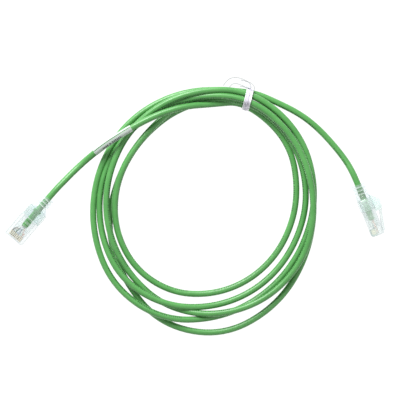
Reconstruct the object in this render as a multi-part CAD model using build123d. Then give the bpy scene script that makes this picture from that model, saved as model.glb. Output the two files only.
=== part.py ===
from build123d import *
import math
import os

# Slim RJ45 patch cable, coiled, with a clear plug and a clear boot at each end.
# Millimetres, Z up. Origin: on the ground, below the middle of the two plugs' common box.

# --- cable -----------------------------------------------------------------------------
CABLE_DIAMETER = 3.6
CABLE_RADIUS = CABLE_DIAMETER / 2
FILLET_SHARE = 0.45  # part of the shorter run that a bend may use

# --- plug housing: plug frame has X from the nose backwards, Z out of the contact face --
HOUSING_WIDTH = 11.68
HOUSING_HEIGHT = 6.6
HOUSING_FRONT_LENGTH = 14.6
HOUSING_LENGTH = 21.5
HOUSING_EDGE = 0.3
SPIGOT_WIDTH = 10.2
SPIGOT_HEIGHT = 5.7
CAVITY_START = 5.0
CAVITY_WIDTH = 8.4
CAVITY_HEIGHT = 4.3
CRIMP_POCKET = (10.4, 13.6)
CRIMP_BAR = (11.2, 12.9)
CRIMP_WIDTH = 6.6
CRIMP_BAR_TOP = 2.9

# --- contacts and conductors -------------------------------------------------------------
PIN_COUNT = 8
PIN_PITCH = 1.02
BLADE_THICKNESS = 0.35
BLADE_START = 0.9
BLADE_END = 3.8
BLADE_TOP = 2.95
BLADE_NOSE_RADIUS = 0.6
SLOT_WIDTH = 0.5
SLOT_END = 4.1
WIRE_DIAMETER = 0.7
WIRE_ROW = 0.38  # the conductors lie in two rows, this far above and below the middle
WIRE_START = 0.9
WIRE_STRAIGHT_END = 4.9
WIRE_BUNDLE_START = 8.0
WIRE_BUNDLE_PITCH = 0.76
WIRE_CHANNEL_WIDTH = 8.2
WIRE_CHANNEL_HEIGHT = 1.6
WIRE_BEND = 1.4
JACKET_START = 9.1
WIRE_COLOURS = [
    "white_orange", "orange", "white_green", "blue",
    "white_blue", "green", "white_brown", "brown",
]

# --- latch -------------------------------------------------------------------------------
LATCH_HINGE_X = 1.8
LATCH_HINGE_Z = -3.95
LATCH_THICKNESS = 1.3
LATCH_ANGLE = 13.5
LATCH_REACH = 14.1
LATCH_SHOULDER_REACH = 6.4
LATCH_SHOULDER_WIDTH = 6.0
LATCH_LEVER_WIDTH = 3.25
LATCH_GROOVE_CLEARANCE = 0.05

# --- boot --------------------------------------------------------------------------------
BOOT_WIDTH = 11.9
BOOT_HEIGHT = 7.8
BOOT_CORNER = 1.4
BOOT_START = HOUSING_FRONT_LENGTH
BOOT_BLOCK_END = 21.0
BOOT_NECK_START = 24.2
BOOT_END = 30.4
BOOT_NECK_DIAMETER = 7.2
BOOT_NECK_CORNER = 3.5
BOOT_BORE_CLEARANCE = 0.02
BOOT_GROOVES = [24.6, 26.7, 28.7]
BOOT_GROOVE_WIDTH = 0.8
BOOT_GROOVE_DIAMETER = 5.2
GUARD_FRONT = 12.9
GUARD_BRIDGE = 16.4
GUARD_FLAT_END = 19.0
GUARD_BACK = 23.0
GUARD_HALF_WIDTH = 3.7
GUARD_GAP_HALF_WIDTH = 2.1
GUARD_DEPTH = 8.0
GUARD_BACK_DEPTH = 3.6

# --- where the plugs lie: the point where the cable enters the boot, and the way the plug's
# --- X axis points on the ground ----------------------------------------------------------
EXIT_A = (-82.9, 8.9, GUARD_DEPTH)
HEADING_A = 49.3
EXIT_B = (92.0, 16.4, BOOT_WIDTH / 2)
HEADING_B = 111.75

# --- the coil ------------------------------------------------------------------------------
COIL_CENTRE = (4.3, 1.0)
HOURS = 12
HOUR_STEP = 360 / HOURS
TIE_ANGLE = 69.0
TURN_RADII = [
    [65.0, 62.8, 53.3, 48.2, 45.8, 45.6, 47.5, 49.2, 49.8, 50.7, 53.4, 63.4],
    [68.4, 67.4, 62.6, 62.6, 65.6, 69.2, 65.8, 57.6, 53.6, 50.7, 53.6, 60.6],
    [67.2, 64.4, 59.2, 54.2, 52.5, 52.9, 55.6, 58.5, 58.3, 59.9, 61.8, 64.1],
    [68.2, 65.3, 62.3, 61.9, 60.0, 57.9, 56.6, 53.6, 53.7, 56.5, 61.9, 66.8],
    [72.1, 69.4, 63.5, 58.8, 57.5, 59.4, 63.5, 64.4, 62.3, 62.8, 65.3, 67.3],
]
LAST_TURN_END_RADIUS = 71.6
LAST_TURN_END_HEIGHT = 2.6
COIL_TOP = 8.2
HUMPS = [(112.0, 122.0, 11.6), (28.0, 112.0, 10.4), (-14.0, 28.0, 11.2)]  # from, to, top
GROOVE_CLEARANCE = 0.3

# Cable from plug A: across the coil to where it joins the first turn.
TAIL_A = [
    (-78.99, 13.45, 8.0), (-73.6, 19.2, 6.2), (-67.7, 25.4, 3.3), (-61.3, 31.2, 3.5),
    (-52.2, 38.2, 8.2), (-41.9, 44.8, 10.6), (-30.9, 51.3, 10.6), (-18.95, 56.85, 9.6),
    (-5.6, 60.8, 8.2), (8.85, 62.1, 4.4),
]
TAIL_A_FIRST_OVER_COIL = 3
TAIL_A_LAST_FREE = 6
LABEL_POINTS = (4, 5)
# Cable to plug B: from the last turn out to the boot.
TAIL_B = [
    (46.0, 62.6, 1.9), (59.4, 56.0, 1.9), (69.5, 48.2, 1.9), (78.3, 38.8, 1.9),
    (85.7, 29.8, 3.6), (89.78, 21.97, 5.95),
]

# --- label and tie ---------------------------------------------------------------------------
LABEL_THICKNESS = 0.15
TIE_WIDTH = 4.0
TIE_THICKNESS = 0.55
TIE_WIRE_WIDTH = 0.5
TIE_WIRE_INSET = 0.15
TIE_SLOT_WIDTH = 4.4
TIE_BUNDLE_BOTTOM = 0.6
TIE_BUNDLE_TOP = 10.1
TIE_CORNER = 1.8
TIE_MIDDLE = (29.7, 64.8)
TIE_REACH = 10.7  # across the bundle, inside the ribbon
TIE_HEADING = 76.5  # it lies a little slantwise across the strands
TIE_KNOT_LENGTH = 1.6
TIE_KNOT_HEIGHT = (2.6, 5.2)
# Free ends of the tie seen from above: outward from the bundle, anticlockwise round the coil.
TIE_END_SHORT = [(0.3, -2.4), (2.9, -0.6), (4.6, 2.0), (5.4, 5.4), (2.6, 5.0), (1.4, 2.8), (0.3, 1.6)]
TIE_END_SHORT_HEIGHT = (4.3, 4.8)
TIE_END_LONG = [(0.6, 0.6), (2.8, 4.4), (5.7, 6.2), (5.2, 10.6), (1.9, 12.6), (1.2, 5.4), (0.4, 1.6)]
TIE_END_LONG_HEIGHT = (3.0, 3.5)


def midpoint(first, second):
    return tuple((a + b) / 2 for a, b in zip(first, second))


def bend_radii(points):
    """The radius at each inner point that uses the same share of the shorter run beside it."""
    radii = []
    for before, here, after in zip(points, points[1:], points[2:]):
        arriving = Vector(*here) - Vector(*before)
        leaving = Vector(*after) - Vector(*here)
        half_turn = math.radians(arriving.get_angle(leaving)) / 2
        shorter = min(arriving.length, leaving.length)
        radii.append(FILLET_SHARE * shorter / math.tan(half_turn))
    return radii


def tube(points, radius, radii=None):
    """A round bar along straight runs joined by tangent arcs."""
    if radii is None:
        radii = bend_radii(points)
    path = FilletPolyline(*points, radius=radii)
    section = Plane(path @ 0, z_dir=path % 0) * Circle(radius)
    return sweep(section, path=path)


def block(x_range, half_width, z_range):
    """A box in the plug frame, centred across the plug."""
    length = x_range[1] - x_range[0]
    height = z_range[1] - z_range[0]
    centre = (sum(x_range) / 2, 0, sum(z_range) / 2)
    return Pos(*centre) * Box(length, 2 * half_width, height)


def pin_offsets():
    return [(index - (PIN_COUNT - 1) / 2) * PIN_PITCH for index in range(PIN_COUNT)]


def row_height(index):
    return WIRE_ROW if index % 2 == 0 else -WIRE_ROW


# --- plug pieces -------------------------------------------------------------------------------

def housing():
    front = block((0, HOUSING_FRONT_LENGTH), HOUSING_WIDTH / 2, (-HOUSING_HEIGHT / 2, HOUSING_HEIGHT / 2))
    front = chamfer(front.faces().sort_by(Axis.X)[0].edges(), HOUSING_EDGE)
    spigot = block(
        (HOUSING_FRONT_LENGTH, HOUSING_LENGTH), SPIGOT_WIDTH / 2, (-SPIGOT_HEIGHT / 2, SPIGOT_HEIGHT / 2)
    )
    body = front + spigot
    half_cavity = CAVITY_HEIGHT / 2
    body -= block((CAVITY_START, HOUSING_LENGTH), CAVITY_WIDTH / 2, (-half_cavity, half_cavity))
    half_channel = WIRE_CHANNEL_HEIGHT / 2
    body -= block((WIRE_START, CAVITY_START), WIRE_CHANNEL_WIDTH / 2, (-half_channel, half_channel))
    body -= block(CRIMP_POCKET, CRIMP_WIDTH / 2, (0, HOUSING_HEIGHT))
    bar = block(CRIMP_BAR, CRIMP_WIDTH / 2, (CABLE_RADIUS, CRIMP_BAR_TOP))
    body += bar
    for offset in pin_offsets():
        slot = block((0, SLOT_END), SLOT_WIDTH / 2, (0, HOUSING_HEIGHT))
        body -= Pos(0, offset, 0) * slot
    body -= latch_pin(LATCH_THICKNESS / 2 + LATCH_GROOVE_CLEARANCE, HOUSING_WIDTH)
    return body


def latch_pin(radius, length):
    axis = Rot(90, 0, 0) * Cylinder(radius, length)
    return Pos(LATCH_HINGE_X, 0, LATCH_HINGE_Z) * axis


def latch():
    half = LATCH_THICKNESS / 2
    broad = Pos(LATCH_SHOULDER_REACH / 2, 0, 0) * Box(
        LATCH_SHOULDER_REACH, LATCH_SHOULDER_WIDTH, LATCH_THICKNESS
    )
    lever = Pos(LATCH_REACH / 2, 0, 0) * Box(LATCH_REACH, LATCH_LEVER_WIDTH, LATCH_THICKNESS)
    tongue = broad + lever
    tip = tongue.edges().filter_by(Axis.Y).group_by(Axis.X)[-1]
    tongue = fillet(tip, half * 0.6)
    tongue = Pos(LATCH_HINGE_X, 0, LATCH_HINGE_Z) * Rot(0, LATCH_ANGLE, 0) * tongue
    return tongue + latch_pin(half, LATCH_SHOULDER_WIDTH)


def contacts():
    blades = []
    for index, offset in enumerate(pin_offsets()):
        bottom = row_height(index) + WIRE_DIAMETER / 2
        blade = block((BLADE_START, BLADE_END), BLADE_THICKNESS / 2, (bottom, BLADE_TOP))
        corner = blade.edges().filter_by(Axis.Y).group_by(Axis.Z)[-1].sort_by(Axis.X)[0]
        blade = fillet(corner, BLADE_NOSE_RADIUS)
        blades.append(Pos(0, offset, 0) * blade)
    return Compound(children=blades)


def conductor(index):
    height = row_height(index)
    comb = pin_offsets()[index]
    bundle = (index // 2 - (PIN_COUNT // 2 - 1) / 2) * WIRE_BUNDLE_PITCH
    points = [
        (WIRE_START, comb, height),
        (WIRE_STRAIGHT_END, comb, height),
        (WIRE_BUNDLE_START, bundle, height),
        (JACKET_START, bundle, height),
    ]
    return tube(points, WIRE_DIAMETER / 2, [WIRE_BEND, WIRE_BEND])


def across_at(x):
    """The plane across the plug at the given distance from its nose."""
    return Plane((x, 0, 0), x_dir=(0, 1, 0), z_dir=(1, 0, 0))


def boot():
    outline = RectangleRounded(BOOT_WIDTH, BOOT_HEIGHT, BOOT_CORNER)
    neck = RectangleRounded(BOOT_NECK_DIAMETER, BOOT_NECK_DIAMETER, BOOT_NECK_CORNER)
    body = extrude(across_at(BOOT_START) * outline, BOOT_BLOCK_END - BOOT_START)
    body += loft([across_at(BOOT_BLOCK_END) * outline, across_at(BOOT_NECK_START) * neck])
    body += extrude(across_at(BOOT_NECK_START) * neck, BOOT_END - BOOT_NECK_START)
    body += guard()
    body -= block(
        (BOOT_START, HOUSING_LENGTH), SPIGOT_WIDTH / 2, (-SPIGOT_HEIGHT / 2, SPIGOT_HEIGHT / 2)
    )
    bore = Circle(CABLE_RADIUS + BOOT_BORE_CLEARANCE)
    body -= extrude(across_at(BOOT_START) * bore, BOOT_END - BOOT_START)
    for start in BOOT_GROOVES:
        ring = Circle(BOOT_WIDTH) - Circle(BOOT_GROOVE_DIAMETER / 2)
        body -= extrude(across_at(start) * ring, BOOT_GROOVE_WIDTH)
    return body


def guard():
    """Two cheeks beside the tip of the latch, joined by a ramp behind it."""
    profile = Polyline(
        (GUARD_FRONT, -HOUSING_HEIGHT / 2 - 0.6),
        (GUARD_FRONT, -GUARD_DEPTH + 1.2),
        (GUARD_FRONT + 1.2, -GUARD_DEPTH),
        (GUARD_FLAT_END, -GUARD_DEPTH),
        (GUARD_BACK, -GUARD_BACK_DEPTH),
        (BOOT_BLOCK_END, -HOUSING_HEIGHT / 2),
        (BOOT_START, -HOUSING_HEIGHT / 2),
        (BOOT_START, -HOUSING_HEIGHT / 2 - 0.6),
        close=True,
    )
    side = Plane.XZ.offset(-GUARD_HALF_WIDTH) * make_face(profile)
    solid = extrude(side, 2 * GUARD_HALF_WIDTH)
    solid -= block((GUARD_FRONT, GUARD_BRIDGE), GUARD_GAP_HALF_WIDTH, (-HOUSING_LENGTH, -BOOT_HEIGHT / 2))
    return solid


def jacket_end():
    points = [(JACKET_START, 0, 0), (BOOT_END, 0, 0)]
    path = Line(*points)
    section = Plane(path @ 0, z_dir=path % 0) * Circle(CABLE_RADIUS)
    return sweep(section, path=path)


def plug_pieces(end, place):
    pieces = {
        f"plug_{end}_housing": housing(),
        f"plug_{end}_latch": latch(),
        f"plug_{end}_contacts": contacts(),
        f"plug_{end}_boot": boot(),
        f"jacket_end_{end}": jacket_end(),
    }
    for index, colour in enumerate(WIRE_COLOURS):
        pieces[f"plug_{end}_wire_{colour}"] = conductor(index)
    return {name: place * shape for name, shape in pieces.items()}


def plug_place(exit_point, heading, contacts_up):
    angle = math.radians(heading)
    backwards = (math.cos(angle), math.sin(angle), 0)
    nose = tuple(e - BOOT_END * b for e, b in zip(exit_point, backwards))
    outwards = (0, 0, 1) if contacts_up else (-math.sin(angle), math.cos(angle), 0)
    return Plane(nose, x_dir=backwards, z_dir=outwards).location


# --- the coil -------------------------------------------------------------------------------------

def around(radius, angle, height):
    turn = math.radians(angle)
    x = COIL_CENTRE[0] + radius * math.cos(turn)
    y = COIL_CENTRE[1] + radius * math.sin(turn)
    return (x, y, height)


def station(radius, hour, height):
    """A corner of the cable's route whose curve passes at the given radius."""
    half_step = math.radians(HOUR_STEP / 2)
    return around(radius / math.cos(half_step), TIE_ANGLE - HOUR_STEP * hour, height)


def ring_edge(outer):
    points = []
    for hour in range(HOURS):
        radii = [turn[hour] for turn in TURN_RADII]
        if hour == 0:
            radii.append(LAST_TURN_END_RADIUS)
        radius = max(radii) + CABLE_RADIUS if outer else min(radii) - CABLE_RADIUS
        points.append(around(radius, TIE_ANGLE - HOUR_STEP * hour, 0))
    return make_face(Spline(*points, periodic=True))


def sector(first, last, top):
    reach = 2 * max(TURN_RADII[-1])
    corners = [(*COIL_CENTRE, 0), around(reach, first, 0), around(reach, last, 0)]
    return extrude(make_face(Polyline(*corners, close=True)), top)


def tail_a_points():
    end = midpoint(TAIL_A[TAIL_A_LAST_FREE], TAIL_A[TAIL_A_LAST_FREE + 1])
    return [EXIT_A] + TAIL_A[:TAIL_A_LAST_FREE + 1] + [end]


def tail_a_radii():
    full = [EXIT_A] + TAIL_A
    return bend_radii(full)[:TAIL_A_LAST_FREE + 1]


def tail_b_points():
    leave = station(LAST_TURN_END_RADIUS, 0, LAST_TURN_END_HEIGHT)
    return [midpoint(leave, TAIL_B[0])] + TAIL_B + [EXIT_B]


def tail_b_radii():
    leave = station(LAST_TURN_END_RADIUS, 0, LAST_TURN_END_HEIGHT)
    return bend_radii([leave] + TAIL_B + [EXIT_B])


def coil():
    edge = ring_edge(True) - ring_edge(False)
    body = extrude(edge, COIL_TOP)
    for first, last, top in HUMPS:
        body += extrude(edge, top) & sector(first, last, top)
    body -= tube(tail_b_points()[:3], CABLE_RADIUS + GROOVE_CLEARANCE, tail_b_radii()[:1])
    body += leaving_strand()
    over = tail_a_points()[TAIL_A_FIRST_OVER_COIL:]
    groove_radii = tail_a_radii()[TAIL_A_FIRST_OVER_COIL:]
    body -= tube(over, CABLE_RADIUS + GROOVE_CLEARANCE, groove_radii)
    body -= tie_slot() - bundle_prism(0, TIE_SLOT_WIDTH)
    return body


def leaving_strand():
    """The last of the cable in the coil, ending where its free run begins."""
    before = station(TURN_RADII[-1][-1], HOURS - 1, LAST_TURN_END_HEIGHT)
    leave = station(LAST_TURN_END_RADIUS, 0, LAST_TURN_END_HEIGHT)
    return tube([midpoint(before, leave), leave, midpoint(leave, TAIL_B[0])], CABLE_RADIUS)


# --- tie and label ------------------------------------------------------------------------------------

def tie_plane():
    """Section plane of the bundle at the tie's middle: X outward, Y up, Z clockwise round the coil."""
    turn = math.radians(TIE_HEADING)
    outward = (math.cos(turn), math.sin(turn), 0)
    clockwise = (math.sin(turn), -math.cos(turn), 0)
    return Plane((*TIE_MIDDLE, 0), x_dir=outward, z_dir=clockwise)


def bundle_prism(grow, width):
    height = TIE_BUNDLE_TOP - TIE_BUNDLE_BOTTOM + 2 * grow
    middle = (TIE_BUNDLE_TOP + TIE_BUNDLE_BOTTOM) / 2
    outline = Pos(0, middle) * RectangleRounded(TIE_REACH + 2 * grow, height, TIE_CORNER + grow)
    return extrude(tie_plane() * outline, width / 2, both=True)


def tie_slot():
    outline = Rectangle(2 * TIE_REACH, 4 * COIL_TOP)
    return extrude(tie_plane() * outline, TIE_SLOT_WIDTH / 2, both=True)


def tie_end(corners, heights):
    turn = math.radians(TIE_HEADING)
    outward = (math.cos(turn), math.sin(turn), 0)
    reach = TIE_REACH / 2 + TIE_THICKNESS
    root = (TIE_MIDDLE[0] + reach * outward[0], TIE_MIDDLE[1] + reach * outward[1], heights[0])
    plane = Plane(root, x_dir=outward, z_dir=(0, 0, 1))
    return extrude(plane * make_face(Polyline(*corners, close=True)), heights[1] - heights[0])


def tie_band():
    band = bundle_prism(TIE_THICKNESS, TIE_WIDTH) - bundle_prism(0, TIE_WIDTH)
    band -= tie_wire()
    knot_middle = (TIE_REACH / 2 + TIE_THICKNESS + TIE_KNOT_LENGTH / 2, sum(TIE_KNOT_HEIGHT) / 2)
    knot = Pos(*knot_middle) * Rectangle(TIE_KNOT_LENGTH, TIE_KNOT_HEIGHT[1] - TIE_KNOT_HEIGHT[0])
    band += extrude(tie_plane() * knot, TIE_KNOT_LENGTH / 2, both=True)
    for corners, heights in ((TIE_END_SHORT, TIE_END_SHORT_HEIGHT), (TIE_END_LONG, TIE_END_LONG_HEIGHT)):
        band += tie_end(corners, heights)
    return band


def tie_wire():
    outer = bundle_prism(TIE_THICKNESS - TIE_WIRE_INSET, TIE_WIRE_WIDTH)
    return outer - bundle_prism(TIE_WIRE_INSET, TIE_WIRE_WIDTH)


def label():
    first, last = LABEL_POINTS
    points = [
        midpoint(TAIL_A[first - 1], TAIL_A[first]),
        TAIL_A[first],
        TAIL_A[last],
        midpoint(TAIL_A[last], TAIL_A[last + 1]),
    ]
    radii = tail_a_radii()[first:last + 1]
    return tube(points, CABLE_RADIUS + LABEL_THICKNESS, radii) - tube(points, CABLE_RADIUS, radii)


def main():
    os.makedirs("parts", exist_ok=True)
    pieces = {}
    pieces.update(plug_pieces("a", plug_place(EXIT_A, HEADING_A, True)))
    pieces.update(plug_pieces("b", plug_place(EXIT_B, HEADING_B, False)))
    pieces["cable_tail_a"] = tube(tail_a_points(), CABLE_RADIUS, tail_a_radii())
    pieces["cable_tail_b"] = tube(tail_b_points(), CABLE_RADIUS, tail_b_radii())
    pieces["cable_coil"] = coil()
    pieces["label_wrap"] = label()
    pieces["tie_ribbon"] = tie_band()
    pieces["tie_wire"] = tie_wire()
    for name, shape in pieces.items():
        export_step(shape, f"parts/{name}.step")
        box = shape.bounding_box()
        print(name, "solids", len(shape.solids()), "volume", round(shape.volume, 2), box.min, box.max)
    for name, radii in (("tail a", tail_a_radii()), ("tail b", tail_b_radii())):
        print(name, "bend radii", [round(radius, 1) for radius in radii])


main()
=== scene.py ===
import bisect
import math

import bmesh
import bpy
from mathutils import Matrix, Vector


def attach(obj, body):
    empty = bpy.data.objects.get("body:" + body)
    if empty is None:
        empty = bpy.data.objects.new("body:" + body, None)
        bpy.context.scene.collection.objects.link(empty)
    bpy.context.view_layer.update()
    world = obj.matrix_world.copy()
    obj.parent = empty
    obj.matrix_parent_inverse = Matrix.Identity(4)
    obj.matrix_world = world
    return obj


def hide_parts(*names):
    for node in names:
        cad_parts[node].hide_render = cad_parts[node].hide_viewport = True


# Slim RJ45 patch cable, coiled, with clear plugs and boots. Metres, in the CAD frame.

MM = 0.001
UP = Vector((0, 0, 1))

# --- cable and its route: as in the CAD, with some points moved by up to 1.1 mm -------------------------
CABLE_DIAMETER = 3.6 * MM
CABLE_RADIUS = CABLE_DIAMETER / 2
EXIT_A = (-82.9 * MM, 8.9 * MM, 8.0 * MM)
HEADING_A = 49.3
EXIT_B = (92.0 * MM, 16.4 * MM, 5.95 * MM)
HEADING_B = 111.75
COIL_CENTRE = (4.3 * MM, 1.0 * MM)
HOURS = 12
HOUR_STEP = 360 / HOURS
TIE_ANGLE = 69.0  # where the turns begin
# Each turn: how far out the cable lies at each hour, and how high, in millimetres. The CAD has no such
# heights, because its coil is one ring.
TURNS = [
    (
        [65.2, 61.7, 53.4, 48.3, 46.05, 45.95, 47.85, 49.1, 49.6, 50.7, 53.2, 63.4],
        [1.9, 1.9, 1.9, 1.9, 1.9, 1.9, 1.9, 1.9, 3.4, 6.2, 6.6, 1.9],
    ),
    (
        [68.4, 67.4, 62.6, 62.6, 65.9, 69.5, 66.3, 57.4, 53.6, 50.7, 53.6, 60.6],
        [1.9, 1.9, 1.9, 1.9, 1.9, 1.9, 1.9, 1.9, 1.9, 1.9, 1.9, 1.9],
    ),
    (
        [67.2, 64.4, 59.2, 54.2, 52.5, 52.9, 55.6, 58.5, 58.3, 59.9, 61.8, 64.1],
        [5.2, 3.9, 1.9, 1.9, 1.9, 3.0, 6.6, 6.2, 2.0, 1.9, 1.9, 6.4],
    ),
    (
        [68.2, 65.3, 62.3, 61.9, 60.0, 57.9, 56.6, 53.6, 53.7, 56.5, 61.9, 66.8],
        [8.3, 7.6, 10.4, 6.4, 5.4, 6.9, 1.9, 3.8, 6.4, 4.8, 5.6, 8.6],
    ),
    (
        [72.1, 69.4, 63.5, 58.8, 57.5, 59.4, 63.5, 64.4, 62.3, 62.8, 65.8, 68.3],
        [6.6, 5.2, 6.2, 3.2, 1.9, 1.9, 6.2, 2.8, 1.9, 1.9, 1.9, 1.9],
    ),
]
LAST_TURN_END = (71.3, 2.6)
TAIL_A = [
    (-78.99, 13.45, 8.0), (-73.6, 19.2, 6.2), (-67.7, 25.4, 3.3), (-61.3, 31.2, 3.5),
    (-52.2, 38.2, 8.2), (-41.9, 44.8, 10.6), (-30.9, 51.3, 10.6), (-18.95, 56.85, 9.6),
    (-5.6, 60.8, 8.2), (8.85, 62.1, 4.4),
]
TAIL_B = [
    (46.5, 63.3, 1.9), (59.9, 56.5, 1.9), (69.9, 48.5, 1.9), (78.7, 39.0, 1.9),
    (85.7, 29.8, 3.6), (89.78, 21.97, 5.95),
]

# --- print on the jacket: generic strokes in word-like groups -------------------------------------
PRINT_WORDS = [7, 4, 3, 9, 6, 2, 8, 5]
PRINT_PITCH = 1.1 * MM
PRINT_WORD_GAP = 1.9 * MM
PRINT_REPEAT_GAP = 14 * MM
PRINT_STROKE = 0.36 * MM
PRINT_SIDE = 58.0  # middle of the print, in degrees from the top of the cable towards the coil's inside
PRINT_WANDER = 16.0  # the cable is a little twisted, so the print drifts round it by this much
PRINT_WANDER_LENGTH = 0.31
PRINT_HALF_SPAN = 17.0
PRINT_LIFT = 0.02 * MM
PRINT_MARGIN = 12 * MM  # plain cable beside each boot

# --- label ----------------------------------------------------------------------------------------
LABEL_POINTS = (4, 5)  # which of tail A's points lie under it
LABEL_THICKNESS = 0.15 * MM
LABEL_SEAM_SIDE = -22.0
LABEL_SEAM_HALF = 7.0
LABEL_EDGE_LIFT = 0.10 * MM
LABEL_EDGE_SHARE = 0.06  # part of the way round over which each edge stands off
LABEL_MARKS = [4, 1, 6]
LABEL_MARK_PITCH = 1.0 * MM
LABEL_MARK_GAP = 1.8 * MM
LABEL_MARK_STROKE = 0.55 * MM
LABEL_MARK_SIDE = 37.0
LABEL_MARK_HALF_SPAN = 17.0
LABEL_MARK_START = 5.8 * MM
LABEL_SHIFT = 0.8 * MM  # the sleeve sits this much further from plug A than its CAD solid's end

# --- tie ------------------------------------------------------------------------------------------
TIE_MIDDLE = (29.7 * MM, 64.8 * MM)
TIE_HEADING = 76.5  # it lies a little slantwise across the strands
TIE_REACH = 10.7 * MM
TIE_HALF_WIDTH = 2.0 * MM
TIE_SLACK = 0.45 * MM
TIE_FILM = 0.16 * MM
TIE_RIM = 0.34 * MM
TIE_RIM_WIDTH = 0.55 * MM
TIE_BEAD_TOP = (0.7, 0.2)  # where the rim's bead is at full height, in parts of its width from the edge
TIE_RIDGE = 0.46 * MM
TIE_RIDGE_HALF = 0.30 * MM
TIE_CORE_RADIUS = 0.16 * MM
TIE_CORE_SHARE = 0.45  # how far up the ridge the core's middle lies
TIE_END_TURN = 0.3  # part of a free end's length over which it turns from standing to lying flat
TIE_FLOOR_GAP = 0.03 * MM
TIE_LOOP_STEPS = 120
TIE_GIRTH_STEP = 10
TIE_ENDS = {
    "tie_end_short": [(31.2, 69.9, 5.4), (32.0, 70.9, 5.5), (31.2, 72.2, 5.3), (28.9, 73.4, 5.0),
                      (25.6, 74.0, 4.6)],
    "tie_end_long": [(31.1, 70.2, 3.9), (30.6, 72.2, 3.8), (28.2, 74.0, 3.5), (24.6, 75.5, 3.2),
                     (21.4, 75.8, 2.8), (18.9, 74.4, 2.2), (17.3, 72.0, 1.5)],
}

# --- plug, in its own frame: X from the nose backwards, Z out of the contact face -------------------
PLUG_LENGTH = 30.4 * MM
JACKET_END_SECTIONS = [  # distance from the nose, half width, half height
    (9.1, 1.45, 1.45), (9.25, 1.70, 1.70), (9.6, 1.80, 1.80), (10.8, 1.82, 1.78), (11.3, 1.95, 1.66),
    (12.8, 1.95, 1.66), (13.3, 1.82, 1.78), (14.4, 1.80, 1.80), (19.5, 1.80, 1.80), (19.9, 2.45, 2.05),
    (21.1, 2.45, 2.05), (21.4, 1.80, 1.80), (30.4, 1.80, 1.80),
]
BOOT_START = 14.6
BOOT_BLOCK_END = 20.4
BOOT_BLOCK = (5.95, 3.9, 1.4)  # half width, half height, corner
BOOT_NECK = (3.6, 3.6, 3.5)
BOOT_NECK_START = 24.2
BOOT_END = 30.4
BOOT_EDGE = 0.25
BOOT_LIP = 0.5
BOOT_BORE = 1.82
BOOT_POCKET = (5.1, 2.85, 0.2)
BOOT_POCKET_END = 21.5
BOOT_POCKET_SLOPE = 0.7
BOOT_GROOVES = [24.6, 26.7, 28.7]
BOOT_GROOVE_WIDTH = 0.8
BOOT_GROOVE_FLANK = 0.2
BOOT_GROOVE_RADIUS = 2.6
SHOULDER_STEPS = 8
BOOT_NECK_SHARE = 0.3  # how far down the shoulder the neck's thicker, greyer wall begins
RING_CORNER_STEPS = 8
GUARD_PROFILE = [
    (12.9, -3.9), (12.9, -6.8), (14.1, -8.0), (19.0, -8.0), (23.0, -3.7), (21.0, -3.6), (14.7, -3.6),
    (14.7, -3.9),
]
GUARD_CHEEKS = [(-3.7, -2.1), (2.1, 3.7)]
GUARD_BRIDGE_PROFILE = [(16.4, -3.6), (16.4, -8.0), (19.0, -8.0), (23.0, -3.7), (21.0, -3.6)]
GUARD_BRIDGE = (-2.1, 2.1)
GUARD_BEVEL = 0.3

WIRES = {  # base colour, and the stripe's colour on the pale ones
    "white_orange": ((0.80, 0.73, 0.74), (0.74, 0.50, 0.42)),
    "orange": ((0.74, 0.52, 0.44), None),
    "white_green": ((0.78, 0.80, 0.79), (0.45, 0.62, 0.50)),
    "blue": ((0.48, 0.48, 0.62), None),
    "white_blue": ((0.76, 0.76, 0.80), (0.50, 0.52, 0.68)),
    "green": ((0.20, 0.32, 0.24), None),
    "white_brown": ((0.74, 0.72, 0.70), (0.40, 0.34, 0.30)),
    "brown": ((0.16, 0.15, 0.14), None),
}

# --- camera, floor and light ----------------------------------------------------------------------------
VIEW_WIDTH = 226.8 * MM
VIEW_CENTRE = (2.6 * MM, 7.8 * MM)
VIEW_HEIGHT = 4.5 * MM
CAMERA_LENS = 135.0
CAMERA_SENSOR = 36.0
FLOOR_SIZE = 4.0
FLOOR_DROP = 0.05 * MM  # keeps the floor clear of the plugs' lowest faces
FLOOR_GLOW = 1.05
FLOOR_ROUGHNESS = 0.9
FLOOR_SHADE = 0.6  # how much of the studio light the floor throws back onto the object
FLOOR_SHADE_SEEN = 0.04  # the same where the floor is looked at, so that it stays evenly white
KEY_PLACE = (-0.32, 0.78, 0.60)
KEY_SIZE = 0.45
KEY_POWER = 16.0
FILL_PLACE = (0.4, -0.6, 0.9)
FILL_SIZE = 0.8
FILL_POWER = 1.5
WORLD_LIGHT = 0.35
WORLD_MIRRORED = 0.95  # the white studio walls, as shiny surfaces mirror them

# --- finishes: each pair of colours is the darker and the lighter end of a fine mottling ----------------
JACKET_COLOURS = ((0.066, 0.278, 0.060), (0.086, 0.326, 0.076))
JACKET_GLOSS = ((0.34, 0.34, 0.34), (0.46, 0.46, 0.46))
JACKET_SPECULAR = 0.55
JACKET_SHEEN = 0.35
JACKET_SHEEN_ROUGHNESS = 0.35
JACKET_MOTTLE = (120.0, 4.0)  # each fine mottling: how fine it is, and how detailed
JACKET_SCUFFS = (700.0, 5.0)
JACKET_PEBBLE = (2500.0, 3.0)
JACKET_BUMP = (0.10, 0.1 * MM)
PLAIN_MOTTLE = (900.0, 3.0)
PLAIN_PEBBLE = (2700.0, 2.0)
PLAIN_BUMP = (0.08, 0.05 * MM)
MOTTLE_RANGE = (0.3, 0.7)  # the noise values between which the mottling goes from one colour to the other
PRINT_INK = ((0.010, 0.050, 0.014), (0.022, 0.075, 0.026))
LABEL_FILM = ((0.44, 0.51, 0.46), (0.52, 0.60, 0.54))
LABEL_INK = ((0.010, 0.015, 0.02), (0.03, 0.035, 0.04))
STEEL = ((0.42, 0.36, 0.48), (0.52, 0.46, 0.58))
GOLD = ((0.84, 0.74, 0.54), (0.93, 0.84, 0.66))
WIRE_SHADES = (0.9, 1.1)
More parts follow.
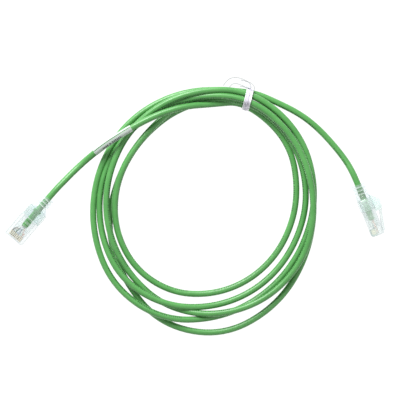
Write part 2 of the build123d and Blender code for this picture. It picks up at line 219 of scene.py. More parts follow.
WIRE_BAND_SLANT = 25.0
WIRE_BAND_SCALE = 130.0
WIRE_BAND_EDGES = (0.72, 0.80)
LILAC = (0.84, 0.81, 0.90)
PALE_MILK = (0.90, 0.92, 0.93)
WHITE_MILK = (0.98, 1.0, 1.0)
MINT_MILK = (0.90, 1.0, 0.95)
# Clear plastics: tint face on, tint at a glance, milkiness, roughness and the colour of the milk.
CLEAR_FINISHES = {
    "clear_polycarbonate": ((0.950, 0.962, 0.966), (0.80, 0.84, 0.86), 0.075, 0.04, MINT_MILK),
    "clear_boot": ((0.972, 0.99, 0.992), (0.90, 0.945, 0.955), 0.04, 0.10, MINT_MILK),
    # The rounds' darker tint is painted edge shade, standing in for the grey lines that refraction makes
    # along rounded edges.
    "clear_rounds_painted_edge_shade": ((0.62, 0.67, 0.69), (0.55, 0.60, 0.63), 0.05, 0.06, PALE_MILK),
    "clear_neck": ((0.93, 0.965, 0.97), (0.86, 0.92, 0.94), 0.10, 0.12, PALE_MILK),
    "frosted_boot": ((0.98, 1.0, 1.0), (0.90, 0.96, 0.97), 0.46, 0.30, WHITE_MILK),
    "tie_film": ((0.92, 0.90, 0.95), (0.78, 0.77, 0.83), 0.74, 0.15, LILAC),
    "tie_rim": ((0.95, 0.96, 0.97), (0.70, 0.72, 0.74), 0.85, 0.15, PALE_MILK),
    "tie_end_film": ((0.99, 0.99, 1.0), (0.82, 0.83, 0.85), 0.04, 0.12, PALE_MILK),
    # The free ends' beads are tinted darker: painted edge shade that outlines them.
    "tie_end_rim_painted_edge_shade": ((0.62, 0.64, 0.63), (0.60, 0.62, 0.62), 0.05, 0.15, PALE_MILK),
}
SIDE_HAZE = {"clear_polycarbonate": 0.24, "clear_boot": 0.27}  # milkiness of the plugs' side faces
SIDE_HAZE_RANGE = (0.5, 0.9)  # how squarely a face looks sideways, where that begins and is complete
CLEAR_EDGE_RANGE = (0.35, 0.95)  # how slantwise a face is seen, where its tint turns to the one at a glance
CLEAR_SHINE = ((0.02, 0.02, 0.02), (0.40, 0.40, 0.40))  # how much is mirrored, face on and at a glance
CLEAR_SHINE_RANGE = (0.55, 1.0)
CLEAR_CLOUD = (220.0, 2.0)
CLEAR_CLOUD_SPREAD = (0.7, 1.3)  # of the milkiness
CLEAR_SWIRL = (300.0, 3.0)
CLEAR_SWIRL_SHADE = 0.9
CLEAR_SCUFFS = (900.0, 4.0)
CLEAR_SCUFF_SPREAD = 1.8  # of the roughness
CLEAR_LAYERS = 32  # surfaces that light may cross, for the plug inside its boot over the latch

# --- fineness of the meshes ---------------------------------------------------------------------------
SHARP_FROM = 40.0  # degrees between two faces
BEVEL_FROM = 50.0
MOULDED_ROUNDS = {"housing": 0.18 * MM, "latch": 0.2 * MM}
ROUND_SEGMENTS = 2
WELD_REACH = 0.002 * MM  # the CAD meshes come apart at their faces' borders, and are joined up within this
ROUTE_STEPS = 10
CABLE_BEVEL_STEPS = 7
CORE_BEVEL_STEPS = 3
STROKE_STEPS = 4
LABEL_STEPS = (36, 48)  # along the cable and round it


# --- material helpers ---------------------------------------------------------------------------

def new_material(name):
    material = bpy.data.materials.new(name)
    material.use_nodes = True
    nodes = material.node_tree.nodes
    return material, nodes, material.node_tree.links, nodes["Principled BSDF"]


def set_inputs(node, **values):
    for key, value in values.items():
        node.inputs[key.replace("_", " ")].default_value = value


def scaled(colour, factor):
    return tuple(min(1.0, value * factor) for value in colour)


def grey(value):
    return (value, value, value)


def noise(nodes, links, scale, detail):
    coordinates = nodes.new("ShaderNodeTexCoord")
    texture = nodes.new("ShaderNodeTexNoise")
    set_inputs(texture, Scale=scale, Detail=detail)
    links.new(coordinates.outputs["Object"], texture.inputs["Vector"])
    return texture.outputs["Fac"]


def ramp(nodes, links, factor, low, high, span=MOTTLE_RANGE):
    node = nodes.new("ShaderNodeValToRGB")
    for element, position, colour in zip(node.color_ramp.elements, span, (low, high)):
        element.position = position
        element.color = (*colour, 1)
    links.new(factor, node.inputs["Fac"])
    return node.outputs["Color"]


def bump(nodes, links, shader, height, strength, distance):
    node = nodes.new("ShaderNodeBump")
    set_inputs(node, Strength=strength, Distance=distance)
    links.new(height, node.inputs["Height"])
    links.new(node.outputs["Normal"], shader.inputs["Normal"])


def jacket_material():
    """Smooth extruded PVC: a fine pebble, a slow unevenness, and slightly varied gloss."""
    material, nodes, links, shader = new_material("cable_jacket")
    mottle = noise(nodes, links, *JACKET_MOTTLE)
    links.new(ramp(nodes, links, mottle, *JACKET_COLOURS), shader.inputs["Base Color"])
    scuffs = noise(nodes, links, *JACKET_SCUFFS)
    links.new(ramp(nodes, links, scuffs, *JACKET_GLOSS), shader.inputs["Roughness"])
    bump(nodes, links, shader, noise(nodes, links, *JACKET_PEBBLE), *JACKET_BUMP)
    set_inputs(shader, Specular_IOR_Level=JACKET_SPECULAR)
    set_inputs(shader, Sheen_Weight=JACKET_SHEEN, Sheen_Roughness=JACKET_SHEEN_ROUGHNESS)
    return material


def facing_along(nodes, links, axis):
    """How squarely a surface faces along an axis, either way."""
    geometry = nodes.new("ShaderNodeNewGeometry")
    product = nodes.new("ShaderNodeVectorMath")
    product.operation = "DOT_PRODUCT"
    product.inputs[1].default_value = axis
    links.new(geometry.outputs["Normal"], product.inputs[0])
    size = nodes.new("ShaderNodeMath")
    size.operation = "ABSOLUTE"
    links.new(product.outputs["Value"], size.inputs[0])
    return size.outputs["Value"]


def clear_material(finish, ending="", side=None):
    """Clear moulded plastic: it tints what is behind it, greys at its edges, and is slightly milky.

    Through a plug's sides there is more plastic than through its top, so those faces are milkier.
    """
    tint, edge, haze, roughness, milk_tone = CLEAR_FINISHES[finish]
    material, nodes, links, shader = new_material(finish + ending)
    nodes.remove(shader)
    weight = nodes.new("ShaderNodeLayerWeight")
    set_inputs(weight, Blend=0.5)
    through = nodes.new("ShaderNodeBsdfTransparent")
    tinted = ramp(nodes, links, weight.outputs["Facing"], tint, edge, CLEAR_EDGE_RANGE)
    links.new(tinted, through.inputs["Color"])
    milk = nodes.new("ShaderNodeBsdfDiffuse")
    swirl = noise(nodes, links, *CLEAR_SWIRL)
    shaded = scaled(milk_tone, CLEAR_SWIRL_SHADE)
    links.new(ramp(nodes, links, swirl, shaded, milk_tone), milk.inputs["Color"])
    milky = nodes.new("ShaderNodeMixShader")
    thin, thick = CLEAR_CLOUD_SPREAD
    cloud = ramp(nodes, links, noise(nodes, links, *CLEAR_CLOUD), grey(thin), grey(thick))
    depth = nodes.new("ShaderNodeMath")
    depth.operation = "MULTIPLY"
    set_inputs(depth, Value=haze)
    links.new(cloud, depth.inputs[1])
    if side:
        square = facing_along(nodes, links, side)
        hazier = ramp(nodes, links, square, grey(haze), grey(SIDE_HAZE[finish]), SIDE_HAZE_RANGE)
        links.new(hazier, depth.inputs[0])
    links.new(depth.outputs["Value"], milky.inputs["Fac"])
    links.new(through.outputs["BSDF"], milky.inputs[1])
    links.new(milk.outputs["BSDF"], milky.inputs[2])
    mirror = nodes.new("ShaderNodeBsdfGlossy")
    scuffs = noise(nodes, links, *CLEAR_SCUFFS)
    gloss = ramp(nodes, links, scuffs, grey(roughness), grey(roughness * CLEAR_SCUFF_SPREAD))
    links.new(gloss, mirror.inputs["Roughness"])
    surface = nodes.new("ShaderNodeMixShader")
    shine = ramp(nodes, links, weight.outputs["Facing"], *CLEAR_SHINE, CLEAR_SHINE_RANGE)
    links.new(shine, surface.inputs["Fac"])
    links.new(milky.outputs["Shader"], surface.inputs[1])
    links.new(mirror.outputs["BSDF"], surface.inputs[2])
    links.new(surface.outputs["Shader"], nodes["Material Output"].inputs["Surface"])
    return material


def plain_material(name, colours, roughness, metallic=0.0):
    material, nodes, links, shader = new_material(name)
    mottle = noise(nodes, links, *PLAIN_MOTTLE)
    links.new(ramp(nodes, links, mottle, *colours), shader.inputs["Base Color"])
    bump(nodes, links, shader, noise(nodes, links, *PLAIN_PEBBLE), *PLAIN_BUMP)
    set_inputs(shader, Roughness=roughness, Metallic=metallic)
    return material


def wire_material(colour, base, stripe, heading):
    """Conductor insulation, with slanting coloured bands on the pale conductor of each pair."""
    shades = [scaled(base, factor) for factor in WIRE_SHADES]
    material = plain_material(f"wire_{colour}", shades, roughness=0.4)
    if stripe is None:
        return material
    nodes = material.node_tree.nodes
    links = material.node_tree.links
    coordinates = nodes.new("ShaderNodeTexCoord")
    turned = nodes.new("ShaderNodeMapping")
    set_inputs(turned, Rotation=(0, 0, -math.radians(heading + WIRE_BAND_SLANT)))
    links.new(coordinates.outputs["Object"], turned.inputs["Vector"])
    bands = nodes.new("ShaderNodeTexWave")
    set_inputs(bands, Scale=WIRE_BAND_SCALE, Distortion=0.0)
    links.new(turned.outputs["Vector"], bands.inputs["Vector"])
    striped = ramp(nodes, links, bands.outputs["Fac"], base, stripe, WIRE_BAND_EDGES)
    links.new(striped, nodes["Principled BSDF"].inputs["Base Color"])
    return material


# --- geometry helpers -------------------------------------------------------------------------------

def add_object(name, data):
    piece = bpy.data.objects.new(name, data)
    bpy.context.scene.collection.objects.link(piece)
    return piece


def mesh_object(name, vertices, faces, materials):
    """A mesh with its faces turned outwards. Each face is its corners and its material's number."""
    mesh = bpy.data.meshes.new(name)
    mesh.from_pydata([tuple(vertex) for vertex in vertices], [], [corners for corners, _ in faces])
    for polygon, (_, slot) in zip(mesh.polygons, faces):
        polygon.material_index = slot
    for material in materials:
        mesh.materials.append(material)
    shape = bmesh.new()
    shape.from_mesh(mesh)
    bmesh.ops.recalc_face_normals(shape, faces=shape.faces)
    shape.to_mesh(mesh)
    shape.free()
    mesh.shade_smooth()
    mesh.set_sharp_from_angle(angle=math.radians(SHARP_FROM))
    return add_object(name, mesh)


def nurbs_curve(name, points):
    curve = bpy.data.curves.new(name, "CURVE")
    curve.dimensions = "3D"
    spline = curve.splines.new("NURBS")
    spline.points.add(len(points) - 1)
    for control, point in zip(spline.points, points):
        control.co = (*point, 1)
    spline.order_u = 3
    spline.use_endpoint_u = True
    spline.resolution_u = ROUTE_STEPS
    return curve


def centre_line(points):
    """The points of the NURBS line itself, in order."""
    holder = add_object("route_line", nurbs_curve("route_line", points))
    bpy.context.view_layer.update()
    mesh = bpy.data.meshes.new_from_object(holder)
    line = [vertex.co.copy() for vertex in mesh.vertices]
    curve = holder.data
    bpy.data.objects.remove(holder)
    bpy.data.curves.remove(curve)
    bpy.data.meshes.remove(mesh)
    return line


def distances(line):
    total = 0.0
    result = [0.0]
    for before, here in zip(line, line[1:]):
        total += (here - before).length
        result.append(total)
    return result


def frame_at(line, along, distance):
    """Position, level-most upward direction and right-hand side at a distance along the line."""
    index = min(max(bisect.bisect_right(along, distance) - 1, 0), len(line) - 2)
    share = (distance - along[index]) / (along[index + 1] - along[index])
    position = line[index].lerp(line[index + 1], share)
    before = line[max(index - 1, 0)]
    after = line[min(index + 2, len(line) - 1)]
    tangent = (after - before).normalized()
    side = tangent.cross(UP).normalized()
    return position, side.cross(tangent), side


def nearest_distance(line, along, target):
    gaps = [(point - Vector(target)).length for point in line]
    return along[gaps.index(min(gaps))]


def add_wrap(vertices, faces, stations, angles, inner, outer, slot=0, lift=None):
    """A closed patch of film wrapped on the cable, over the given stations and angles."""
    start = len(vertices)
    columns = len(angles)
    layer = len(stations) * columns
    for radius in (outer, inner):
        for position, upward, side in stations:
            for index, angle in enumerate(angles):
                turn = math.radians(angle)
                reach = radius + (lift(index / (columns - 1)) if lift else 0.0)
                vertices.append(position + reach * (math.cos(turn) * upward + math.sin(turn) * side))

    def corner(row, column, below=0):
        return start + below * layer + row * columns + column

    rows = len(stations)
    for row in range(rows - 1):
        for column in range(columns - 1):
            for below in (0, 1):
                faces.append(((corner(row, column, below), corner(row + 1, column, below),
                               corner(row + 1, column + 1, below), corner(row, column + 1, below)), slot))
        for column in (0, columns - 1):
            faces.append(((corner(row, column), corner(row + 1, column),
                           corner(row + 1, column, 1), corner(row, column, 1)), slot))
    for row in (0, rows - 1):
        for column in range(columns - 1):
            faces.append(((corner(row, column), corner(row, column + 1),
                           corner(row, column + 1, 1), corner(row, column, 1)), slot))


def steps(first, last, count):
    return [first + (last - first) * index / count for index in range(count + 1)]


# --- the cable ---------------------------------------------------------------------------------------

def around(radius, angle, height):
    turn = math.radians(angle)
    x = COIL_CENTRE[0] + radius * math.cos(turn)
    y = COIL_CENTRE[1] + radius * math.sin(turn)
    return (x, y, height)


def station(radius, hour, height):
    half_step = math.radians(HOUR_STEP / 2)
    reach = radius * MM / math.cos(half_step)
    return around(reach, TIE_ANGLE - HOUR_STEP * hour, height * MM)


def in_metres(points):
    return [tuple(value * MM for value in point) for point in points]


def route():
    points = [EXIT_A] + in_metres(TAIL_A)
    for radii, heights in TURNS:
        for hour, (radius, height) in enumerate(zip(radii, heights)):
            points.append(station(radius, hour, height))
    points.append(station(LAST_TURN_END[0], 0, LAST_TURN_END[1]))
    return points + in_metres(TAIL_B) + [EXIT_B]


def make_cable(material):
    curve = nurbs_curve("patch_cable", route())
    curve.bevel_depth = CABLE_RADIUS
    curve.bevel_resolution = CABLE_BEVEL_STEPS
    curve.use_fill_caps = True
    curve.materials.append(material)
    cable = add_object("patch_cable", curve)
    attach(cable, "cable")
    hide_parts("cable_tail_a", "cable_coil", "cable_tail_b")
    return cable


def strokes(words, start, end, pitch, gap, repeat_gap):
    """Distances of the strokes, group after group, over and over from start to end."""
    places = []
    distance = start
    while distance < end:
        for count in words:
            places += [distance + index * pitch for index in range(count)]
            distance += (count - 1) * pitch + gap
        distance += repeat_gap
    return [place for place in places if place < end]


def add_strokes(vertices, faces, line, along, places, width, side_angle, half_span, lifts):
    for place in places:
        middle = side_angle(place)
        stations = [frame_at(line, along, place + share * width) for share in (-0.5, 0.5)]
        angles = steps(middle - half_span, middle + half_span, STROKE_STEPS)
        add_wrap(vertices, faces, stations, angles, *lifts)


def make_print(line, along, label_range, material):
    def side_angle(distance):
        return PRINT_SIDE + PRINT_WANDER * math.sin(2 * math.pi * distance / PRINT_WANDER_LENGTH)

    places = strokes(PRINT_WORDS, PRINT_MARGIN, along[-1] - PRINT_MARGIN, PRINT_PITCH, PRINT_WORD_GAP,
                     PRINT_REPEAT_GAP)
    label_start, label_end = label_range
    before = [place for place in places if place <= label_start - PRINT_PITCH]
    after = [place for place in places if place >= label_end + PRINT_PITCH]
    vertices = []
    faces = []
    add_strokes(vertices, faces, line, along, before + after, PRINT_STROKE, side_angle, PRINT_HALF_SPAN,
                (CABLE_RADIUS - PRINT_LIFT, CABLE_RADIUS + PRINT_LIFT))
    marks = mesh_object("jacket_print", vertices, faces, [material])
    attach(marks, "cable")
    return marks


def midpoint(first, second):
    return tuple((a + b) / 2 for a, b in zip(first, second))


def find_label(line, along):
    first, last = LABEL_POINTS
    tail = in_metres(TAIL_A)
    ends = (midpoint(tail[first - 1], tail[first]), midpoint(tail[last], tail[last + 1]))
    start, finish = [nearest_distance(line, along, end) for end in ends]
    return (start + LABEL_SHIFT, finish)


def seam_lift(share):
    """The film stands off the jacket a little beside its seam."""
    edge = min(share, 1 - share)
    return LABEL_EDGE_LIFT * max(0.0, 1 - edge / LABEL_EDGE_SHARE) ** 2


def make_label(line, along, label_range, material):
    lengthwise, around_cable = LABEL_STEPS
    stations = [frame_at(line, along, distance) for distance in steps(*label_range, lengthwise)]
    first_edge = LABEL_SEAM_SIDE + LABEL_SEAM_HALF
    last_edge = LABEL_SEAM_SIDE - LABEL_SEAM_HALF + 360
    angles = steps(first_edge, last_edge, around_cable)
    vertices = []
    faces = []
    add_wrap(vertices, faces, stations, angles, CABLE_RADIUS, CABLE_RADIUS + LABEL_THICKNESS, 0, seam_lift)
    label = mesh_object("label_sleeve", vertices, faces, [material])
    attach(label, "cable")
    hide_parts("label_wrap")
    return label


def make_label_marks(line, along, label_range, material):
    places = strokes(LABEL_MARKS, label_range[0] + LABEL_MARK_START, label_range[1], LABEL_MARK_PITCH,
                     LABEL_MARK_GAP, label_range[1])
    places = places[:sum(LABEL_MARKS)]
    surface = CABLE_RADIUS + LABEL_THICKNESS
    vertices = []
    faces = []
    add_strokes(vertices, faces, line, along, places, LABEL_MARK_STROKE, lambda place: LABEL_MARK_SIDE,
                LABEL_MARK_HALF_SPAN, (surface - PRINT_LIFT, surface + PRINT_LIFT))
    marks = mesh_object("label_marks", vertices, faces, [material])
    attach(marks, "cable")
    return marks


# --- the tie -------------------------------------------------------------------------------------------

def tie_axes():
    turn = math.radians(TIE_HEADING)
    outward = Vector((math.cos(turn), math.sin(turn), 0))
    return outward, Vector((math.sin(turn), -math.cos(turn), 0))


def crossings(line):
    """Where the cable passes through the tie's plane: outward distance from its middle, and height."""
    outward, clockwise = tie_axes()
    centre = Vector((*TIE_MIDDLE, 0))
    found = []
    for before, after in zip(line, line[1:]):
        first = (before - centre).dot(clockwise)
        second = (after - centre).dot(clockwise)
        if first <= 0 < second and abs((before - centre).dot(outward)) < TIE_REACH:
            point = before.lerp(after, first / (first - second)) - centre
            found.append((point.dot(outward), point.z))
    return found


def hull(points):
    """The convex outline of flat points, anticlockwise."""
    ordered = sorted(points)

    def chain(sequence):
        kept = []
        for point in sequence:
            while len(kept) > 1:
                (ax, ay), (bx, by) = kept[-2:]
                if (bx - ax) * (point[1] - ay) - (by - ay) * (point[0] - ax) > 0:
                    break
                kept.pop()
            kept.append(point)
        return kept[:-1]

    return chain(ordered) + chain(reversed(ordered))


def tie_loop(line):
    """The tight loop round the strands, evenly stepped: position and outward-facing normal."""
    outward, _ = tie_axes()
    rim = [math.radians(angle) for angle in range(0, 360, TIE_GIRTH_STEP)]
    cloud = []
    girth = CABLE_RADIUS + TIE_SLACK
    for reach, height in crossings(line):
        cloud += [(reach + girth * math.cos(a), height + girth * math.sin(a)) for a in rim]
    outline = [Vector((x, y, 0)) for x, y in hull(cloud)]
    outline.append(outline[0])
    along = distances(outline)
    loop = []
    for index in range(TIE_LOOP_STEPS):
        distance = along[-1] * index / TIE_LOOP_STEPS
        at = min(bisect.bisect_right(along, distance) - 1, len(outline) - 2)
        share = (distance - along[at]) / (along[at + 1] - along[at])
        loop.append(outline[at].lerp(outline[at + 1], share))
    stations = []
    for index, point in enumerate(loop):
        ahead = loop[(index + 2) % TIE_LOOP_STEPS] - loop[index - 2]
        normal = Vector((ahead.y, -ahead.x, 0)).normalized()
        position = Vector((*TIE_MIDDLE, 0)) + outward * point.x + UP * point.y
        stations.append((position, outward * normal.x + UP * normal.y))
    return stations


def ribbon_section():
    """Across the ribbon and up from its inner face, with a bead on each edge and a ridge on the core."""
    right = [
        (TIE_RIDGE_HALF / 2, TIE_RIDGE),
        (TIE_RIDGE_HALF, TIE_FILM),
        (TIE_HALF_WIDTH - TIE_RIM_WIDTH, TIE_FILM),
        (TIE_HALF_WIDTH - TIE_RIM_WIDTH * TIE_BEAD_TOP[0], TIE_RIM),
        (TIE_HALF_WIDTH - TIE_RIM_WIDTH * TIE_BEAD_TOP[1], TIE_RIM),
        (TIE_HALF_WIDTH, TIE_RIM / 2),
        (TIE_HALF_WIDTH, 0),
    ]
    left = [(-across, up) for across, up in reversed(right)]
    return left[1:] + right[:-1] + [right[-1], (-TIE_HALF_WIDTH, 0)]


def is_rim(first, second):
    """Whether a stretch of the section lies on the bead of one edge."""
    middle_of_film = (TIE_RIDGE_HALF + TIE_HALF_WIDTH - TIE_RIM_WIDTH) / 2
    return min(abs(first[0]), abs(second[0])) > middle_of_film and first[0] * second[0] > 0


def sweep_ribbon(stations, closed):
    """Vertices and faces of the ribbon: stations give position, face normal and width direction."""
    section = ribbon_section()
    count = len(section)
    vertices = []
    faces = []
    for position, normal, across in stations:
        for offset, height in section:
            point = position + across * offset + normal * height
            point.z = max(point.z, TIE_FLOOR_GAP)
            vertices.append(point)
    rows = len(stations) if closed else len(stations) - 1
    for row in range(rows):
        following = (row + 1) % len(stations)
        for column in range(count):
            beside = (column + 1) % count
            slot = 1 if is_rim(section[column], section[beside]) else 0
            faces.append(((row * count + column, following * count + column,
                           following * count + beside, row * count + beside), slot))
    if not closed:
        faces.append((tuple(range(count)), 0))
        faces.append((tuple(range((len(stations) - 1) * count, len(stations) * count)), 0))
    return vertices, faces


def make_tie(line, band_films, end_films, steel):
    outward, clockwise = tie_axes()
    loop = tie_loop(line)
    vertices, faces = sweep_ribbon([(position, normal, clockwise) for position, normal in loop], True)
    band = mesh_object("tie_film_band", vertices, faces, band_films)
    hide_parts("tie_ribbon")
    core_line = [position + normal * TIE_RIDGE * TIE_CORE_SHARE for position, normal in loop]
    core = round_bar("tie_core", core_line, steel)
    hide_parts("tie_wire")
    pieces = [band, core]
    for name, points in TIE_ENDS.items():
        path = centre_line(in_metres(points))
        stations = []
        for index, point in enumerate(path):
            tangent = (path[min(index + 1, len(path) - 1)] - path[max(index - 1, 0)]).normalized()
            laid = min(1.0, index / (TIE_END_TURN * len(path)))
            lean = (outward * (1 - laid) + UP * laid).normalized()
            across = tangent.cross(lean).normalized()
            stations.append((point, across.cross(tangent), across))
        vertices, faces = sweep_ribbon(stations, False)
        pieces.append(mesh_object(name, vertices, faces, end_films))
    for piece in pieces:
        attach(piece, "cable")
    return pieces


def round_bar(name, points, material):
    """A closed ring of round wire through the points."""
    curve = bpy.data.curves.new(name, "CURVE")
    curve.dimensions = "3D"
    spline = curve.splines.new("POLY")
    spline.points.add(len(points) - 1)
    for control, point in zip(spline.points, points):
        control.co = (point.x, point.y, max(point.z, TIE_FLOOR_GAP + TIE_CORE_RADIUS), 1)
    spline.use_cyclic_u = True
    curve.bevel_depth = TIE_CORE_RADIUS
    curve.bevel_resolution = CORE_BEVEL_STEPS
    curve.materials.append(material)
    return add_object(name, curve)


# --- plug pieces -------------------------------------------------------------------------------------------

def plug_matrix(exit_point, heading, contacts_up):
    angle = math.radians(heading)
    backwards = Vector((math.cos(angle), math.sin(angle), 0))
    outwards = UP if contacts_up else Vector((-math.sin(angle), math.cos(angle), 0))
    across = outwards.cross(backwards)
    nose = Vector(exit_point) - PLUG_LENGTH * backwards
    turned = Matrix((backwards, across, outwards)).transposed().to_4x4()
    return Matrix.Translation(nose) @ turned


def ring(x, half_width, half_height, corner):
    """A rounded rectangle across the plug, in millimetres."""
    points = []
    for quarter, (right, top) in enumerate(((1, 1), (-1, 1), (-1, -1), (1, -1))):
        for index in range(RING_CORNER_STEPS + 1):
            turn = math.radians(90 * (quarter + index / RING_CORNER_STEPS))
            y = right * (half_width - corner) + corner * math.cos(turn)
            z = top * (half_height - corner) + corner * math.sin(turn)
            points.append((x, y, z))
    return points


def round_ring(x, half_width, half_height=None):
    half_height = half_height or half_width
    return [(x, y * half_width, z * half_height) for _, y, z in ring(x, 1.0, 1.0, 1.0)]


def add_loft(vertices, faces, rings, slots, closed):
    """Skins neighbouring rings, and either joins the last to the first or caps both."""
    start = len(vertices)
    count = len(rings[0])
    for points in rings:
        vertices += points
    rows = len(rings) if closed else len(rings) - 1
    for row in range(rows):
        following = (row + 1) % len(rings)
        for column in range(count):
            beside = (column + 1) % count
            faces.append(((start + row * count + column, start + following * count + column,
                           start + following * count + beside, start + row * count + beside), slots[row]))
    if not closed:
        faces.append((tuple(range(start, start + count)), 0))
        faces.append((tuple(range(start + (len(rings) - 1) * count, start + len(rings) * count)), 0))


def boot_rings():
    """Rings from the front round the outside, then back through the bore, and each gap's material."""
    inset = tuple(size - BOOT_EDGE for size in BOOT_BLOCK)
    rings = [ring(BOOT_START, *inset), ring(BOOT_START + BOOT_LIP, *BOOT_BLOCK)]
    slots = [1, 0]
    for share in steps(0, 1, SHOULDER_STEPS):
        eased = share * share * (3 - 2 * share)
        sizes = [block + (neck - block) * eased for block, neck in zip(BOOT_BLOCK, BOOT_NECK)]
        rings.append(ring(BOOT_BLOCK_END + (BOOT_NECK_START - BOOT_BLOCK_END) * share, *sizes))
        slots.append(2 if share > BOOT_NECK_SHARE else 0)
    for groove in BOOT_GROOVES:
        end = groove + BOOT_GROOVE_WIDTH
        rings.append(ring(groove, *BOOT_NECK))
        rings.append(round_ring(groove + BOOT_GROOVE_FLANK, BOOT_GROOVE_RADIUS))
        rings.append(round_ring(end - BOOT_GROOVE_FLANK, BOOT_GROOVE_RADIUS))
        rings.append(ring(end, *BOOT_NECK))
        slots += [1, 1, 1, 2]
    inset = tuple(size - BOOT_EDGE for size in BOOT_NECK)
    rings += [ring(BOOT_END - BOOT_EDGE, *BOOT_NECK), ring(BOOT_END, *inset)]
    rings += [round_ring(BOOT_END, BOOT_BORE), round_ring(BOOT_POCKET_END + BOOT_POCKET_SLOPE, BOOT_BORE)]
    rings += [ring(BOOT_POCKET_END, *BOOT_POCKET), ring(BOOT_START, *BOOT_POCKET)]
    slots += [2, 0, 2, 2, 0, 0]
    return rings, slots


def add_prism(vertices, faces, profile, low, high):
    """A profile in X and Z, drawn out across the plug, with its edges rounded off."""
    shape = bmesh.new()
    ends = []
    for y in (low, high):
        ends.append([shape.verts.new((x, y, z)) for x, z in profile])
    for end in ends:
        shape.faces.new(end)
    count = len(profile)
    for index in range(count):
        beside = (index + 1) % count
        shape.faces.new((ends[0][index], ends[0][beside], ends[1][beside], ends[1][index]))
    bmesh.ops.recalc_face_normals(shape, faces=shape.faces)
    bmesh.ops.bevel(shape, geom=shape.edges[:], offset=GUARD_BEVEL, segments=ROUND_SEGMENTS,
                    affect="EDGES", profile=0.5)
    start = len(vertices)
    shape.verts.index_update()
    vertices += [tuple(vertex.co) for vertex in shape.verts]
    for face in shape.faces:
        faces.append((tuple(start + vertex.index for vertex in face.verts), 0))
    shape.free()


def plug_object(name, place, vertices, faces, materials):
    placed = [place @ (Vector(vertex) * MM) for vertex in vertices]
    return mesh_object(name, placed, faces, materials)


def make_boot(end, place, materials):
    vertices = []
    faces = []
    rings, slots = boot_rings()
    add_loft(vertices, faces, rings, slots, True)
    for low, high in GUARD_CHEEKS:
        add_prism(vertices, faces, GUARD_PROFILE, low, high)
    add_prism(vertices, faces, GUARD_BRIDGE_PROFILE, *GUARD_BRIDGE)
    boot = plug_object(f"boot_shell_{end}", place, vertices, faces, materials)
    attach(boot, "cable")
    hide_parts(f"plug_{end}_boot")


def make_jacket_end(end, place, material):
    vertices = []
    faces = []
    rings = [round_ring(x, wide, high) for x, wide, high in JACKET_END_SECTIONS]
    add_loft(vertices, faces, rings, [0] * len(rings), False)
    sleeve = plug_object(f"crimped_jacket_{end}", place, vertices, faces, [material])
    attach(sleeve, "cable")
    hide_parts(f"jacket_end_{end}")


def soften(node, width):
    """Rounds a moulded CAD piece's sharp edges, with its second material, tinted darker as painted edge
    shade, on the rounds.
    """
    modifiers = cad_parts[node].modifiers
    modifiers.new("joined", "WELD").merge_threshold = WELD_REACH
    modifier = modifiers.new("edges", "BEVEL")
    modifier.material = 1
    modifier.width = width
    modifier.segments = ROUND_SEGMENTS
    modifier.limit_method = "ANGLE"
    modifier.angle_limit = math.radians(BEVEL_FROM)


def paint(node, *materials):
    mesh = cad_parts[node].data
    mesh.materials.clear()
    for material in materials:
        mesh.materials.append(material)


# --- stage ------------------------------------------------------------------------------------------------

def make_floor():
    half = FLOOR_SIZE / 2
    signs = ((-1, -1), (1, -1), (1, 1), (-1, 1))
    corners = [(right * half, back * half, -FLOOR_DROP) for right, back in signs]
    material, nodes, links, shader = new_material("floor")
    set_inputs(shader, Roughness=FLOOR_ROUGHNESS)
    set_inputs(shader, Emission_Color=(1, 1, 1, 1), Emission_Strength=FLOOR_GLOW)
    path = nodes.new("ShaderNodeLightPath")
    shade = nodes.new("ShaderNodeMapRange")
    set_inputs(shade, To_Min=FLOOR_SHADE_SEEN, To_Max=FLOOR_SHADE)
    links.new(path.outputs["Is Diffuse Ray"], shade.inputs["Value"])
    links.new(shade.outputs["Result"], shader.inputs["Base Color"])
    floor = mesh_object("floor", corners, [((0, 1, 2, 3), 0)], [material])


def make_lights():
    def area(name, location, size, energy):
        light = bpy.data.lights.new(name, "AREA")
        light.shape = "SQUARE"
        light.size = size
        light.energy = energy
        holder = add_object(name, light)
        holder.location = location
        aim = Vector((0, 0, 0)) - Vector(location)
        holder.rotation_euler = aim.to_track_quat("-Z", "Y").to_euler()

    area("key", KEY_PLACE, KEY_SIZE, KEY_POWER)
    area("fill", FILL_PLACE, FILL_SIZE, FILL_POWER)
    world = bpy.data.worlds.new("studio")
    world.use_nodes = True
    nodes = world.node_tree.nodes
    links = world.node_tree.links
    background = nodes["Background"]
    set_inputs(background, Color=(1, 1, 1, 1))
    path = nodes.new("ShaderNodeLightPath")
    strength = nodes.new("ShaderNodeMapRange")
    set_inputs(strength, To_Min=WORLD_LIGHT, To_Max=WORLD_MIRRORED)
    links.new(path.outputs["Is Glossy Ray"], strength.inputs["Value"])
    links.new(strength.outputs["Result"], background.inputs["Strength"])
    bpy.context.scene.world = world


def make_camera():
    camera = bpy.data.cameras.new("camera")
    camera.lens = CAMERA_LENS
    camera.sensor_width = CAMERA_SENSOR
    holder = add_object("camera", camera)
    distance = VIEW_WIDTH * CAMERA_LENS / CAMERA_SENSOR
    holder.location = (*VIEW_CENTRE, distance + VIEW_HEIGHT)
    bpy.context.scene.camera = holder


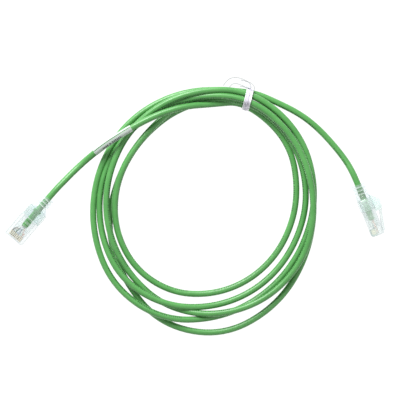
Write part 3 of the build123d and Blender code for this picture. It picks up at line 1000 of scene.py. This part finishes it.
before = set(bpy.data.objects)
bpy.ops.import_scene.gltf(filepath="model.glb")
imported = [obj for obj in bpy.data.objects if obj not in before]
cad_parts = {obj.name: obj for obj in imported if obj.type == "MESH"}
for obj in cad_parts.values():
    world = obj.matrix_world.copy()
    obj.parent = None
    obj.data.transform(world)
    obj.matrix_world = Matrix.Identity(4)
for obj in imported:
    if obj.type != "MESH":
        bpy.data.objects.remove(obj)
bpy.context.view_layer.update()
make_camera()
make_lights()
make_floor()
bpy.context.scene.view_settings.view_transform = "Standard"
bpy.context.scene.cycles.transparent_max_bounces = CLEAR_LAYERS

jacket = jacket_material()
print_ink = plain_material("print_ink", PRINT_INK, roughness=0.5)
label_film = plain_material("label_film", LABEL_FILM, roughness=0.35)
label_ink = plain_material("label_ink", LABEL_INK, roughness=0.5)
steel = plain_material("tie_steel", STEEL, roughness=0.4, metallic=0.4)
cable = make_cable(jacket)
line = centre_line(route())
along = distances(line)
label_range = find_label(line, along)
on_cable = [
    make_print(line, along, label_range, print_ink),
    make_label(line, along, label_range, label_film),
    make_label_marks(line, along, label_range, label_ink),
]
band_films = [clear_material("tie_film"), clear_material("tie_rim")]
# the free ends' beads carry painted edge shade
end_films = [clear_material("tie_end_film"), clear_material("tie_end_rim_painted_edge_shade")]
on_cable += make_tie(line, band_films, end_films, steel)

# painted edge shade for the rounded edges of the plugs' housings and latches
shaded_rounds = clear_material("clear_rounds_painted_edge_shade")
neck = clear_material("clear_neck")
frosted = clear_material("frosted_boot")
gold = plain_material("gold_contact", GOLD, roughness=0.25, metallic=0.25)
plugs = (("a", EXIT_A, HEADING_A, True), ("b", EXIT_B, HEADING_B, False))
for end, exit_point, heading, contacts_up in plugs:
    place = plug_matrix(exit_point, heading, contacts_up)
    side = tuple(place.to_3x3() @ Vector((0, 1, 0)))
    clear = clear_material("clear_polycarbonate", f"_{end}", side)
    boot_clear = clear_material("clear_boot", f"_{end}", side)
    make_boot(end, place, [boot_clear, frosted, neck])
    make_jacket_end(end, place, jacket)
    for part, width in MOULDED_ROUNDS.items():
        paint(f"plug_{end}_{part}", clear, shaded_rounds)
        soften(f"plug_{end}_{part}", width)
    paint(f"plug_{end}_contacts", gold)
    for colour, (base, stripe) in WIRES.items():
        paint(f"plug_{end}_wire_{colour}", wire_material(colour, base, stripe, heading))
